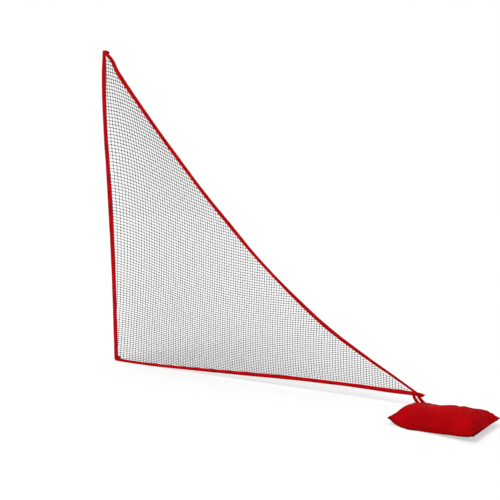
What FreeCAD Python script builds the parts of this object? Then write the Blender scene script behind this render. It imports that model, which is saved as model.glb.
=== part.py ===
import FreeCAD, Part
import math
import os

# Side wing of a pitching practice net: a triangle of square-mesh netting with red webbing
# folded over its three edges. Two webbing loops hold it to a frame, a slanted pole at the
# top and a base tube below, and a strap ties its outer corner to a zipped sandbag.
# +X runs from the pole to the outer corner, -Y faces the player, +Z is up.
# The origin is the centre of the top loop's bore, seven feet above the ground.

Vec = FreeCAD.Vector
X_AXIS = Vec(1, 0, 0)
Y_AXIS = Vec(0, 1, 0)
Z_AXIS = Vec(0, 0, 1)

# The wing
WING_HEIGHT = 2134.0
WING_LENGTH = 2134.0
WING_Y = -23.0
GROUND = -WING_HEIGHT
TAPE_WIDTH = 25.0
TAPE_THICKNESS = 3.8
APEX_WIDTH = 17.0
APEX_RISE = 12.0
INNER_FOOT = 5.0
CORNER_LOW = 62.0
CORNER_HIGH = 90.0
FREE_EDGE_SAG = 168.0
FREE_EDGE_SAG_AT = 0.61
BOTTOM_EDGE_CROWN = 7.0
INNER_EDGE_BOW = 20.0
INNER_EDGE_BOW_HEIGHT = 1700.0
INNER_EDGE_STRAIGHT_HEIGHT = 760.0

# The netting: one gap stands for a block of meshes, five by five
NET_THICKNESS = 1.8
NET_GRIP = 14.0
MESH_PITCH = 19.0
MESHES_PER_GAP = 5
NET_CORD = 5.0
NET_RIM = 3.0
LEAST_GAP_AREA = 300.0
ROW_SLOPE = 0.38
ROW_SLOPE_HALF_HEIGHT = 350.0
ROW_SLOPE_REACH = 1150.0

# Loops round the frame's tubes
TUBE_BORE_R = 13.2
LOOP_WALL = 2.3
LOOP_LENGTH = 25.0
NECK_WIDTH = 4.0
NECK_GAP = 0.4
POLE_LEAN = 27.9
BASE_TUBE_HEIGHT = 19.0

# The corner loop and its tail, and the strap that hangs in it
RING_R = 6.6
RING_WALL = 1.6
RING_WIDTH = 8.0
RING_HEIGHT = 76.0
TAIL_THICKNESS = 1.2
TAIL_BACK = 8.0
TAIL_LENGTH = 54.0
TAIL_WIDTH = 22.0
TAIL_POINT = 30.0
TAIL_DROP = 6.0
STRAP_WIDTH = 15.0
STRAP_THICKNESS = 3.0
STRAP_CUT_CORNER = 0.28
STRAP_BUNCH_WIDTH = 9.4
STRAP_BUNCH_THICKNESS = 8.0
STRAP_BEND_R = 8.0
STRAP_TOP_SPREAD = 27.0
STRAP_DRIFT = 1.6
STRAP_STEPS = 4
STRAP_HEM_R = 1.6
STRAP_ROOTS = (16.0, 60.0)
STRAP_ROOT_OUT = 2.2
STRAP_ROOT_RISE = 1.0

# The sandbag: 18 by 12 inches flat, drawn in by its filling
BAG_LENGTH = 440.0
BAG_WIDTH = 300.0
BAG_CROWN = 56.0
BAG_SEAM_HEIGHT = 29.0
BAG_BELLY = 70.0
BAG_YAW = -8.0
BAG_CORNER_X = 2130.0
BAG_CORNER_Y = -37.0
BAG_FABRIC = 1.0
BAG_EDGE = 1.5
BAG_BACK_WALL = 12.0
BAG_BACK_RAMP = 90.0
BAG_DRAW_IN = 9.0
BAG_END_STEPS = 4
BAG_ZIP_STEPS = 6
BAG_ARC_POINTS = 9
WELT_WIDTH = 8.0
WELT_THICKNESS = 3.0
WELT_GAP = 0.3

# The zip along the bag's back edge
ZIP_START = 94.0
ZIP_LENGTH = 312.0
ZIP_TAPE = 0.9
ZIP_PLAY = 0.45
TOOTH_PITCH = 4.0
TOOTH_LENGTH = 1.6
TOOTH_REACH = 1.2
TOOTH_HEIGHT = 4.4
TOOTH_DEPTH = 2.2
STOP_LENGTH = 5.0
SLIDER_LENGTH = 13.0
SLIDER_WALL = 1.3
SLIDER_CORNER_R = 2.0
PULL_LENGTH = 24.0
PULL_WIDTH = 6.0
PULL_THICKNESS = 1.4
BAIL_REACH = 3.2
BAIL_R = 1.0
PLAY_BETWEEN_TAPES = 0.6

os.makedirs("parts", exist_ok=True)


def save(name, shape):
    shape.exportStep(f"parts/{name}.step")
    print(name, len(shape.Solids), round(shape.Volume), shape.isValid())


def extruded(face, thickness):
    """A face in the wing's plane, given its thickness half to each side of that plane."""
    moved = face.copy()
    moved.translate(Vec(0, -thickness / 2, 0))
    return moved.extrude(Vec(0, thickness, 0))


# The wing's outline

def on_wing(x, height):
    return Vec(x, WING_Y, GROUND + height)


def arc_with_tangent(start, mid, direction):
    """The arc from mid, where it runs along direction, to start."""
    chord = start - mid
    along = chord.dot(direction)
    across = chord - direction * along
    radius = chord.Length**2 / (2 * across.Length)
    centre = mid + across.normalize() * radius
    middle = centre + ((mid + start) * 0.5 - centre).normalize() * radius
    return Part.Arc(start, middle, mid).toShape()


half_tape = TAPE_WIDTH / 2
foot = on_wing(-half_tape, INNER_FOOT)
corner_low = on_wing(WING_LENGTH + half_tape, CORNER_LOW)
corner_high = on_wing(WING_LENGTH + half_tape, CORNER_HIGH)
apex_right = on_wing(APEX_WIDTH - half_tape, WING_HEIGHT + APEX_RISE)
apex_left = on_wing(-half_tape, WING_HEIGHT + APEX_RISE)
bow = on_wing(-half_tape - INNER_EDGE_BOW, INNER_EDGE_BOW_HEIGHT)
bow_end = on_wing(-half_tape, INNER_EDGE_STRAIGHT_HEIGHT)

free_chord = (corner_high - apex_right).normalize()
below_chord = Y_AXIS.cross(free_chord).normalize()
sag_point = apex_right + (corner_high - apex_right) * FREE_EDGE_SAG_AT
sag_point = sag_point + below_chord * FREE_EDGE_SAG
bottom_middle = (foot + corner_low) * 0.5 + Z_AXIS * BOTTOM_EDGE_CROWN

outline = Part.Wire([
    Part.Arc(foot, bottom_middle, corner_low).toShape(),
    Part.LineSegment(corner_low, corner_high).toShape(),
    arc_with_tangent(corner_high, sag_point, free_chord),
    arc_with_tangent(apex_right, sag_point, free_chord),
    Part.LineSegment(apex_right, apex_left).toShape(),
    arc_with_tangent(apex_left, bow, Z_AXIS),
    arc_with_tangent(bow_end, bow, Z_AXIS),
    Part.LineSegment(bow_end, foot).toShape(),
])
outline.fix(0.001, 0.001, 0.001)
wing_face = Part.Face(outline)


def inset(distance):
    """The wing's outline drawn in by a distance on every side."""
    drawn = wing_face.makeOffset2D(-distance, 2)
    largest = max(drawn.Wires, key=lambda wire: wire.BoundBox.DiagonalLength)
    return Part.Face(largest)


net_face = inset(TAPE_WIDTH - NET_GRIP)
open_face = inset(TAPE_WIDTH)


# Netting: columns of cord hang upright, and the rows slope down from the pole side

def row_height(row, x):
    """A row starts level at the pole side and drops by a slope that fades outwards."""
    start = row * MESH_PITCH * MESHES_PER_GAP
    x = min(max(x, 0.0), ROW_SLOPE_REACH)
    run = x - x**3 / (3 * ROW_SLOPE_REACH**2)
    return start - ROW_SLOPE * start / (start + ROW_SLOPE_HALF_HEIGHT) * run


def net_gap(column, row):
    """One gap between two columns and two rows, less the cord round it."""
    pitch = MESH_PITCH * MESHES_PER_GAP
    half = NET_CORD / 2
    left = column * pitch + half
    right = (column + 1) * pitch - half
    corners = [
        on_wing(left, row_height(row, left) + half),
        on_wing(right, row_height(row, right) + half),
        on_wing(right, row_height(row + 1, right) - half),
        on_wing(left, row_height(row + 1, left) - half),
    ]
    return Part.Face(Part.makePolygon(corners + corners[:1]))


def net_gaps():
    room = inset(TAPE_WIDTH + NET_RIM)
    pitch = MESH_PITCH * MESHES_PER_GAP
    gaps = []
    for column in range(-1, math.ceil(WING_LENGTH / pitch)):
        for row in range(-1, math.ceil(1.5 * WING_HEIGHT / pitch)):
            gap = net_gap(column, row).common(room)
            gaps += [face for face in gap.Faces if face.Area > LEAST_GAP_AREA]
    return gaps


gaps = net_gaps()
print("gaps in the net", len(gaps))
holed = Part.makeFace([net_face.OuterWire] + [gap.OuterWire for gap in gaps], "Part::FaceMakerBullseye")
net_panel = extruded(holed, NET_THICKNESS)
save("net_panel", net_panel)


# Webbing tapes: each is folded over the net's edge and meets the next one on a mitre

def nearest(points, target):
    return min(points, key=lambda point: point.distanceToPoint(target))


inner_points = [vertex.Point for vertex in open_face.Vertexes]
foot_inner = nearest(inner_points, foot)
apex_inner = nearest(inner_points, apex_right)
corner_inner = nearest(inner_points, corner_low)
foot_outer = foot + (foot - foot_inner)
apex_outer = apex_left + (apex_right - apex_left) * 0.5 + Z_AXIS * TAPE_WIDTH
corner_outer = (corner_low + corner_high) * 0.5 + X_AXIS * TAPE_WIDTH
inside = on_wing(WING_LENGTH / 4, WING_HEIGHT / 4)

mitres = {
    "inner_edge_tape": [
        foot_outer, foot_inner, inside, apex_inner, apex_outer,
        apex_outer - X_AXIS * WING_LENGTH, foot_outer - X_AXIS * WING_LENGTH],
    "bottom_edge_tape": [
        foot_outer, foot_inner, inside, corner_inner, corner_outer,
        corner_outer - Z_AXIS * WING_LENGTH, foot_outer - Z_AXIS * WING_LENGTH],
    "free_edge_tape": [
        apex_outer, apex_inner, inside, corner_inner, corner_outer,
        corner_outer + Vec(WING_LENGTH, 0, WING_LENGTH), apex_outer + Z_AXIS * WING_LENGTH],
}
band = wing_face.cut(open_face)
slot = extruded(net_face, NET_THICKNESS)


def edge_tape(corners):
    region = Part.Face(Part.makePolygon(corners + corners[:1]))
    return extruded(band.common(region), TAPE_THICKNESS).cut(slot)


for name, corners in mitres.items():
    save(name, edge_tape(corners))


# Loops round the tubes: a ring of webbing whose two ends run together as a neck to the wing

tape_back = -WING_Y - TAPE_THICKNESS / 2
neck_room = Part.makeCylinder(tape_back - NECK_GAP, 2 * LOOP_LENGTH, Vec(0, 0, -LOOP_LENGTH))


def tube_loop(lean):
    """A loop on a tube that leans from upright towards the outer corner, about the origin."""
    half = LOOP_LENGTH / 2
    outer_r = TUBE_BORE_R + LOOP_WALL
    ring = Part.makeCylinder(outer_r, LOOP_LENGTH, Vec(0, 0, -half))
    neck = Part.makeBox(NECK_WIDTH, tape_back, LOOP_LENGTH, Vec(-NECK_WIDTH / 2, -tape_back, -half))
    bore = Part.makeCylinder(TUBE_BORE_R, 2 * LOOP_LENGTH, Vec(0, 0, -LOOP_LENGTH))
    loop = ring.fuse(neck).cut(bore)
    loop.rotate(Vec(0, 0, 0), Y_AXIS, lean)
    return loop.common(neck_room).removeSplitter()


save("top_pole_loop", tube_loop(POLE_LEAN))
base_loop = tube_loop(90.0)
base_loop.translate(Vec(0, 0, GROUND + BASE_TUBE_HEIGHT))
save("base_tube_loop", base_loop)


# The outer corner: webbing sewn to the tape's front, looped round the strap and left as a tail

tape_front = WING_Y - TAPE_THICKNESS / 2
ring_outer_r = RING_R + RING_WALL
ring_centre = Vec(WING_LENGTH, tape_front - ring_outer_r, GROUND + RING_HEIGHT)


def corner_loop():
    start = ring_centre - X_AXIS * RING_WIDTH / 2
    ring = Part.makeCylinder(ring_outer_r, RING_WIDTH, start, X_AXIS)
    left = ring_centre.x - TAIL_BACK
    neck = left + TAIL_LENGTH - TAIL_POINT
    top = ring_centre.z + TAIL_WIDTH / 2
    tail = Part.makePolygon([
        Vec(left, tape_front, top),
        Vec(neck, tape_front, top),
        Vec(left + TAIL_LENGTH, tape_front, ring_centre.z - TAIL_DROP),
        Vec(neck, tape_front, top - TAIL_WIDTH),
        Vec(left, tape_front, top - TAIL_WIDTH),
        Vec(left, tape_front, top),
    ])
    webbing = Part.Face(tail).extrude(Vec(0, -TAIL_THICKNESS, 0)).fuse(ring)
    return webbing.cut(Part.makeCylinder(RING_R, RING_WIDTH, start, X_AXIS))


save("corner_loop", corner_loop())


# The sandbag, in its own frame: u along the back edge, v forward from it, h above the ground

def in_bag(u, v, h):
    return Vec(u, -v, h)


def placed(shape):
    """A shape from the bag's own frame, set down beside the wing's outer corner."""
    moved = shape.copy()
    moved.rotate(Vec(0, 0, 0), Z_AXIS, BAG_YAW)
    moved.translate(Vec(BAG_CORNER_X, BAG_CORNER_Y, GROUND))
    return moved


def bag_box(u, v, h):
    """A box between two values each of u, v and h."""
    return Part.makeBox(u[1] - u[0], v[1] - v[0], h[1] - h[0], in_bag(u[0], v[1], h[0]))


draw_in_r = ((BAG_LENGTH / 2) ** 2 + BAG_DRAW_IN**2) / (2 * BAG_DRAW_IN)


def bag_width(u):
    """The front edge is drawn in on a long arc between the two front corners."""
    from_middle = u - BAG_LENGTH / 2
    drawn = math.sqrt(draw_in_r**2 - from_middle**2) - (draw_in_r - BAG_DRAW_IN)
    return BAG_WIDTH - drawn


def back_growth(u):
    """How far the back wall grows above and below the seam, from nothing at the bag's ends."""
    ramp = min(1.0, u / BAG_BACK_RAMP, (BAG_LENGTH - u) / (BAG_LENGTH - ZIP_START - ZIP_LENGTH))
    return (BAG_BACK_WALL - BAG_EDGE) * ramp


def bag_section(u, skin):
    """The corners of the bag's section at u: back wall, crowned top, front seam and belly."""
    swell = 1 - abs(2 * u / BAG_LENGTH - 1) ** 4
    edge = BAG_EDGE - skin / 2
    back = edge + back_growth(u)
    front = bag_width(u) - skin
    middle = (skin + front) / 2
    seam = BAG_SEAM_HEIGHT
    back_top = in_bag(u, skin, seam + back)
    front_top = in_bag(u, front, seam + edge)
    front_low = in_bag(u, front, seam - edge)
    back_low = in_bag(u, skin, seam - back)
    crown = in_bag(u, middle, seam + back / 2 + edge + (BAG_CROWN - skin) * swell)
    belly = in_bag(u, middle, seam - back / 2 - edge - (BAG_BELLY - skin) * swell)
    over = Part.Arc(back_top, crown, front_top).toShape().discretize(BAG_ARC_POINTS)
    under = Part.Arc(front_low, belly, back_low).toShape().discretize(BAG_ARC_POINTS)
    return over + under


bag_heart = in_bag(BAG_LENGTH / 2, BAG_WIDTH / 2, BAG_SEAM_HEIGHT)


def flat_face(*corners):
    return Part.Face(Part.makePolygon([*corners, corners[0]]))


def bag_facets(near, far):
    """The flat facets between two sections, folded so that every ridge stands outwards."""
    facets = []
    for a, b, c, d in zip(near, near[1:] + near[:1], far[1:] + far[:1], far):
        if ((a + c) * 0.5).distanceToPoint(bag_heart) > ((b + d) * 0.5).distanceToPoint(bag_heart):
            facets += [flat_face(a, b, c), flat_face(a, c, d)]
        else:
            facets += [flat_face(a, b, d), flat_face(b, c, d)]
    return facets


def pillow(skin):
    """The filled bag, drawn in by a skin on every side, flat where it rests on the ground."""
    zip_end = ZIP_START + ZIP_LENGTH
    last = BAG_LENGTH - 2 * skin
    stations = [2 * skin]
    stations += [ZIP_START * step / BAG_END_STEPS for step in range(1, BAG_END_STEPS)]
    stations += [ZIP_START + ZIP_LENGTH * step / BAG_ZIP_STEPS for step in range(BAG_ZIP_STEPS + 1)]
    stations += [(zip_end + last) / 2, last]
    sections = [bag_section(u, skin) for u in stations]
    facets = [flat_face(*sections[0]), flat_face(*sections[-1])]
    for near, far in zip(sections, sections[1:]):
        facets += bag_facets(near, far)
    solid = Part.makeSolid(Part.makeShell(facets))
    if solid.Volume < 0:
        solid.reverse()
    return solid.common(bag_box((-1, BAG_LENGTH + 1), (-1, BAG_WIDTH + 1), (skin, 4 * BAG_CROWN)))


seam = BAG_SEAM_HEIGHT
outside = pillow(0.0)
filling = pillow(BAG_FABRIC)
zip_end = ZIP_START + ZIP_LENGTH
whole_u = (-1, BAG_LENGTH + 1)
whole_v = (-1, BAG_WIDTH + 1)
window = bag_box((ZIP_START, zip_end), (-1, BAG_FABRIC), (seam - BAG_BACK_WALL, seam + BAG_BACK_WALL))
skin = outside.cut(filling).cut(window)
top_panel = skin.common(bag_box(whole_u, whole_v, (seam, 4 * BAG_CROWN)))
bottom_panel = skin.common(bag_box(whole_u, whole_v, (-1, seam)))
save("sand_fill", placed(filling))
save("bag_top_panel", placed(top_panel))
save("bag_bottom_panel", placed(bottom_panel))


def seam_welt():
    """The sewn edge that stands out round the bag's two ends and front."""
    low = seam - WELT_THICKNESS / 2
    w = WELT_WIDTH
    gap = WELT_GAP
    end = BAG_LENGTH
    deep = BAG_WIDTH
    mid = bag_width(end / 2)
    inner_arc = Part.Arc(in_bag(end + gap, deep + gap, low), in_bag(end / 2, mid + gap, low),
                         in_bag(-gap, deep + gap, low))
    outer_arc = Part.Arc(in_bag(-w, deep + w, low), in_bag(end / 2, mid + w, low),
                         in_bag(end + w, deep + w, low))
    lines = [
        (in_bag(end + w, deep + w, low), in_bag(end + w, 0, low)),
        (in_bag(end + w, 0, low), in_bag(end + gap, 0, low)),
        (in_bag(end + gap, 0, low), in_bag(end + gap, deep + gap, low)),
        (in_bag(-gap, deep + gap, low), in_bag(-gap, 0, low)),
        (in_bag(-gap, 0, low), in_bag(-w, 0, low)),
        (in_bag(-w, 0, low), in_bag(-w, deep + w, low)),
    ]
    edges = [Part.LineSegment(*line).toShape() for line in lines]
    edges += [inner_arc.toShape(), outer_arc.toShape()]
    wire = Part.Wire(Part.__sortEdges__(edges))
    return Part.Face(wire).extrude(Z_AXIS * WELT_THICKNESS)


save("bag_seam_welt", placed(seam_welt()))


# The zip: two tapes, two rows of moulded teeth that mesh, a stop at each end

def zip_tape(side):
    heights = sorted((seam + side * PLAY_BETWEEN_TAPES / 2, seam + side * BAG_BACK_WALL))
    return bag_box((ZIP_START, zip_end), (0, ZIP_TAPE), heights)


save("zip_tape_upper", placed(zip_tape(1)))
save("zip_tape_lower", placed(zip_tape(-1)))


def zip_tooth(u, side):
    """A tooth on the tape above (side 1) or below (side -1), reaching across the middle."""
    heights = sorted((seam - side * TOOTH_REACH, seam + side * (TOOTH_HEIGHT - TOOTH_REACH)))
    return bag_box((u, u + TOOTH_LENGTH), (-TOOTH_DEPTH, 0), heights)


first_tooth = ZIP_START + 2 * STOP_LENGTH
teeth_per_row = int((ZIP_LENGTH - 4 * STOP_LENGTH) / TOOTH_PITCH)
teeth = []
for number in range(teeth_per_row):
    u = first_tooth + number * TOOTH_PITCH
    teeth.append(zip_tooth(u, 1))
    teeth.append(zip_tooth(u + TOOTH_PITCH / 2, -1))
save("zip_teeth", placed(Part.makeCompound(teeth)))

chain_half = TOOTH_HEIGHT - TOOTH_REACH


def zip_stop(u):
    return bag_box((u, u + STOP_LENGTH), (-TOOTH_DEPTH, 0), (seam - chain_half, seam + chain_half))


stops = [zip_stop(ZIP_START + STOP_LENGTH / 2), zip_stop(zip_end - 1.5 * STOP_LENGTH)]
save("zip_stops", placed(Part.makeCompound(stops)))


# The slider rides over the teeth, and its pull is hinged in an arched bail

slider_u = zip_end - 1.5 * STOP_LENGTH - ZIP_PLAY - SLIDER_LENGTH / 2
slider_half = chain_half + ZIP_PLAY + SLIDER_WALL
plate_front = TOOTH_DEPTH + ZIP_PLAY + SLIDER_WALL


def zip_bail(reach):
    """A low arch out from the slider's plate, with its two corners cut off."""
    inside = SLIDER_WALL * 0.7
    cut = reach / 3
    corners = [(-reach, inside), (-reach, cut - reach), (cut - reach, -reach),
               (reach - cut, -reach), (reach, cut - reach), (reach, inside)]
    points = [in_bag(slider_u + u, v - plate_front, seam - BAIL_R) for u, v in corners]
    return Part.Face(Part.makePolygon(points + points[:1])).extrude(Z_AXIS * 2 * BAIL_R)


def zip_slider():
    ends = (slider_u - SLIDER_LENGTH / 2, slider_u + SLIDER_LENGTH / 2)
    block = bag_box(ends, (-plate_front, -ZIP_PLAY), (seam - slider_half, seam + slider_half))
    upright = [edge for edge in block.Edges if abs(edge.Vertexes[0].Y - edge.Vertexes[-1].Y) > 1]
    block = block.makeFillet(SLIDER_CORNER_R, upright)
    channel = bag_box((ends[0] - 1, ends[1] + 1), (-TOOTH_DEPTH - ZIP_PLAY, 1),
                      (seam - chain_half - ZIP_PLAY, seam + chain_half + ZIP_PLAY))
    bail = zip_bail(BAIL_REACH + BAIL_R).cut(zip_bail(BAIL_REACH - BAIL_R))
    return block.cut(channel).fuse(bail)


pull_v = -plate_front - ZIP_PLAY - PULL_THICKNESS / 2


def zip_pull():
    """A flat pull with a slot for the bail, lying back along the chain."""
    eye = PULL_THICKNESS / 2
    plate = bag_box((slider_u - PULL_LENGTH, slider_u + eye), (pull_v - eye, pull_v + eye),
                    (seam - PULL_WIDTH / 2, seam + PULL_WIDTH / 2))
    ends = [edge for edge in plate.Edges if abs(edge.Vertexes[0].Y - edge.Vertexes[-1].Y) > 1]
    far_ends = [edge for edge in ends if edge.CenterOfMass.x < slider_u - PULL_LENGTH / 2]
    plate = plate.makeFillet(PULL_WIDTH / 3, far_ends)
    hinge = [edge for edge in plate.Edges
             if abs(edge.Vertexes[0].Z - edge.Vertexes[-1].Z) > 1 and edge.CenterOfMass.x > slider_u]
    plate = plate.makeFillet(eye * 0.9, hinge)
    slot_end = slider_u - BAIL_REACH - BAIL_R - ZIP_PLAY
    half = BAIL_R + ZIP_PLAY
    through = (pull_v - PULL_THICKNESS, pull_v + PULL_THICKNESS)
    return plate.cut(bag_box((slot_end, slider_u - eye), through, (seam - half, seam + half)))


save("zip_slider", placed(zip_slider()))
save("zip_pull", placed(zip_pull()))


# The strap: bunched where it passes through the corner loop, flat where it is sewn to the bag

def leg_root(u):
    """Where a leg of the strap is sewn, just outside the top of the bag's back wall."""
    top = seam + BAG_EDGE + back_growth(u)
    return placed(Part.Vertex(in_bag(u, -STRAP_ROOT_OUT, top + STRAP_ROOT_RISE))).Point


roots = [leg_root(u) for u in STRAP_ROOTS]
roots_along = (roots[1] - roots[0]).normalize()
bag_along = Vec(math.cos(math.radians(BAG_YAW)), math.sin(math.radians(BAG_YAW)), 0)
bag_outward = Z_AXIS.cross(bag_along)


def strap_section(centre, along, width, thickness):
    """Straight across the strap, thin away from the bag, with its corners cut off."""
    broad = bag_outward.cross(along)
    w, t = width / 2, thickness / 2
    cut = STRAP_CUT_CORNER * thickness
    corners = [(w, t - cut), (w - cut, t), (cut - w, t), (-w, t - cut),
               (-w, cut - t), (cut - w, -t), (w - cut, -t), (w, cut - t)]
    points = [centre + broad * a + bag_outward * b for a, b in corners]
    return Part.makePolygon(points + points[:1])


def strap_leg(leg_top, root):
    """A leg flattens, widens and leans over on its way from the corner loop down to the bag."""
    down = root - leg_top
    sections = []
    for step in range(STRAP_STEPS + 1):
        share = step / STRAP_STEPS
        centre = leg_top + Vec(down.x * share**STRAP_DRIFT, down.y * share, down.z * share)
        width = STRAP_BUNCH_WIDTH + (STRAP_WIDTH - STRAP_BUNCH_WIDTH) * share
        thickness = STRAP_BUNCH_THICKNESS + (STRAP_THICKNESS - STRAP_BUNCH_THICKNESS) * share
        sections.append(strap_section(centre, Z_AXIS, width, thickness))
    return Part.makeLoft(sections, True, True)


def bag_strap():
    """A bight through the corner loop, a bend at each end of it, and two legs with rolled hems."""
    straight = STRAP_TOP_SPREAD / 2 - STRAP_BEND_R
    start = ring_centre - bag_along * straight
    across = Part.Face(strap_section(start, bag_along, STRAP_BUNCH_WIDTH, STRAP_BUNCH_THICKNESS))
    strap = across.extrude(bag_along * 2 * straight)
    for side, root in zip((-1, 1), roots):
        bend_start = ring_centre + bag_along * side * straight
        end_face = across.translated(bend_start - start)
        bend = end_face.revolve(bend_start - Z_AXIS * STRAP_BEND_R, bag_outward, 90 * side)
        leg_top = bend_start + bag_along * side * STRAP_BEND_R - Z_AXIS * STRAP_BEND_R
        hem = Part.makeCylinder(STRAP_HEM_R, STRAP_WIDTH, root - roots_along * STRAP_WIDTH / 2, roots_along)
        strap = strap.fuse(bend).fuse(strap_leg(leg_top, root)).fuse(hem)
    return strap


save("bag_strap", bag_strap())
print("strap hinge at", ring_centre)
print("bag hinge at", (roots[0] + roots[1]) * 0.5, "along", roots_along)
print("slider hinge at", placed(Part.Vertex(in_bag(slider_u, pull_v, seam))).Point, "slide", bag_along)
print("slider travel", ZIP_LENGTH - 3 * STOP_LENGTH - SLIDER_LENGTH - 2 * ZIP_PLAY)
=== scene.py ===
"""The looks of a practice net's side wing and its sandbag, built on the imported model."""

import math
import random

import bmesh
import bpy
import numpy as np
from mathutils import Matrix, Vector, noise


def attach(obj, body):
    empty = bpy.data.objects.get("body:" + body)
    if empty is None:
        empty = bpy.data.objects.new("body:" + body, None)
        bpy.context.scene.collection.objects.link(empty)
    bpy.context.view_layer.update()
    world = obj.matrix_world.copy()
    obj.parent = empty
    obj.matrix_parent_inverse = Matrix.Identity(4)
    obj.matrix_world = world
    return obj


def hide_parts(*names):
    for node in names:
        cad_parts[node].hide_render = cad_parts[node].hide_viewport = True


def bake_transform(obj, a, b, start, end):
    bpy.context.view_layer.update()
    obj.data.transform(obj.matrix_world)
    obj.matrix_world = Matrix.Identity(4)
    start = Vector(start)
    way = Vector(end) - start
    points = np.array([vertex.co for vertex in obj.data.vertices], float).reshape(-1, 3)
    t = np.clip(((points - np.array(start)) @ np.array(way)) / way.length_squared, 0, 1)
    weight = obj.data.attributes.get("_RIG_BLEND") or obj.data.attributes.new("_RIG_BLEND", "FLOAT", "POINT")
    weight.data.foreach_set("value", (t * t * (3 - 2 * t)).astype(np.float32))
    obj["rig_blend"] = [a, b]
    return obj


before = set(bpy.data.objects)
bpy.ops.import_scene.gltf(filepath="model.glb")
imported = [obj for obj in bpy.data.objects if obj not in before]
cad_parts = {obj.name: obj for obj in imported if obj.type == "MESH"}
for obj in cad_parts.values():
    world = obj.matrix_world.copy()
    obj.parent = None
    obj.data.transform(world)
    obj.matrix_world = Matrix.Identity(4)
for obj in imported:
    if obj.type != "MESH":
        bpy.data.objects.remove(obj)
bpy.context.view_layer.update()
scene = bpy.context.scene


# ---- The studio -------------------------------------------------------------------------------
# The wing stands on a plain white floor under soft light from the upper left, seen from a little
# over a metre high, a few steps in front of its outer corner.

GROUND = -2.134
FLOOR_HALF = 30
FLOOR_DROP = 0.0006
SENSOR_MM = 36
LENS_MM = 45.7704

eye = Vector((3.078, -3.325, -0.987))
heading, dip, tilt = math.radians(30.70), math.radians(4.88), math.radians(-1.07)
level = math.cos(dip)
ahead = Vector((-math.sin(heading) * level, math.cos(heading) * level, -math.sin(dip)))
level_right = Vector((math.cos(heading), math.sin(heading), 0))
level_up = level_right.cross(ahead)
right = level_right * math.cos(tilt) + level_up * math.sin(tilt)
up = level_up * math.cos(tilt) - level_right * math.sin(tilt)

camera = bpy.data.objects.new("camera", bpy.data.cameras.new("camera"))
scene.collection.objects.link(camera)
camera.data.sensor_width = SENSOR_MM
camera.data.lens = LENS_MM
camera.data.clip_end = 60
camera.matrix_world = Matrix.Translation(eye) @ Matrix((right, up, -ahead)).transposed().to_4x4()
scene.camera = camera

scene.view_settings.view_transform = "Standard"

sun = bpy.data.objects.new("sun", bpy.data.lights.new("sun", "SUN"))
scene.collection.objects.link(sun)
sun.data.energy = 1.55
sun.data.angle = math.radians(30)
sun.rotation_euler = Vector((0.17, 0.50, -0.85)).to_track_quat("-Z", "Y").to_euler()


def linear(code):
    """An sRGB hex colour as the linear colour that a shader takes."""
    parts = [int(code[at:at + 2], 16) / 255 for at in (1, 3, 5)]
    return [c / 12.92 if c <= 0.04045 else ((c + 0.055) / 1.055) ** 2.4 for c in parts] + [1.0]


def add(tree, kind, values=(), links=(), **settings):
    """Adds a node with its settings, its inputs' values and its inputs' links."""
    made = tree.nodes.new("ShaderNode" + kind)
    for name, setting in settings.items():
        setattr(made, name, setting)
    for socket, value in dict(values).items():
        made.inputs[socket].default_value = value
    for socket, source in dict(links).items():
        tree.links.new(source, made.inputs[socket])
    return made


def seen_white(tree):
    """1 for the rays that show the background: from the camera, in a gloss or through glass."""
    rays = add(tree, "LightPath").outputs
    most = add(tree, "Math", {}, {0: rays["Is Camera Ray"], 1: rays["Is Glossy Ray"]},
               operation="MAXIMUM")
    return add(tree, "Math", {}, {0: most.outputs[0], 1: rays["Is Transmission Ray"]},
               operation="MAXIMUM").outputs[0]


def bare_material(name):
    """A new material, and its node tree with nothing in it yet."""
    made = bpy.data.materials.new(name)
    made.use_nodes = True
    made.node_tree.nodes.clear()
    return made, made.node_tree


world = bpy.data.worlds.new("soft_white_room")
scene.world = world
world.use_nodes = True
world.node_tree.nodes.clear()
room = add(world.node_tree, "Background", {"Color": linear("#ffffff"), "Strength": 0.58})
backdrop = add(world.node_tree, "Background", {"Color": linear("#ffffff"), "Strength": 1.0})
shown = add(world.node_tree, "MixShader", {}, {
    0: seen_white(world.node_tree), 1: room.outputs[0], 2: backdrop.outputs[0]})
add(world.node_tree, "OutputWorld", {}, {"Surface": shown.outputs[0]})

floor_paint, tree = bare_material("matt_white_floor")
paint = add(tree, "BsdfDiffuse", {"Color": linear("#bcbcbc")})
lift = add(tree, "Emission", {"Color": linear("#ffffff")}, {"Strength": add(
    tree, "Math", {1: 0.53}, {0: seen_white(tree)}, operation="MULTIPLY").outputs[0]})
both = add(tree, "AddShader", {}, {0: paint.outputs[0], 1: lift.outputs[0]})
add(tree, "OutputMaterial", {}, {"Surface": both.outputs[0]})

bm = bmesh.new()
bmesh.ops.create_grid(bm, x_segments=1, y_segments=1, size=FLOOR_HALF)
bmesh.ops.translate(bm, verts=bm.verts, vec=(1, 0, GROUND - FLOOR_DROP))
floor = bpy.data.objects.new("floor", bpy.data.meshes.new("floor"))
bm.to_mesh(floor.data)
bm.free()
scene.collection.objects.link(floor)
floor.data.materials.append(floor_paint)


# ---- The netting ------------------------------------------------------------------------------
# Black polyester twine, knotted into a square mesh of about 19 mm and stretched so that its rows
# slope down from the upright edge and level out. Its cut ends are caught inside the webbing.

WING_Y = -0.023
TWINE_R = 0.0013
KNOT_R = 0.0033
KNOT_SHAPE = (1.25, 0.8, 0.95)
KNOT_STRAY = 0.0011
KNOT_SEED = 4
BILLOW = 0.006
BILLOW_RISE = 0.12
BILLOW_START = 0.012

# How far each tape covers the netting, from the line of its edge, and how thin the hidden twine is.
INNER_COVER, BOTTOM_COVER, FREE_COVER = 0.018, 0.011, 0.013
PRESSED_INSIDE, PRESSED_AT_EDGE = 0.25, 0.8

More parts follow.
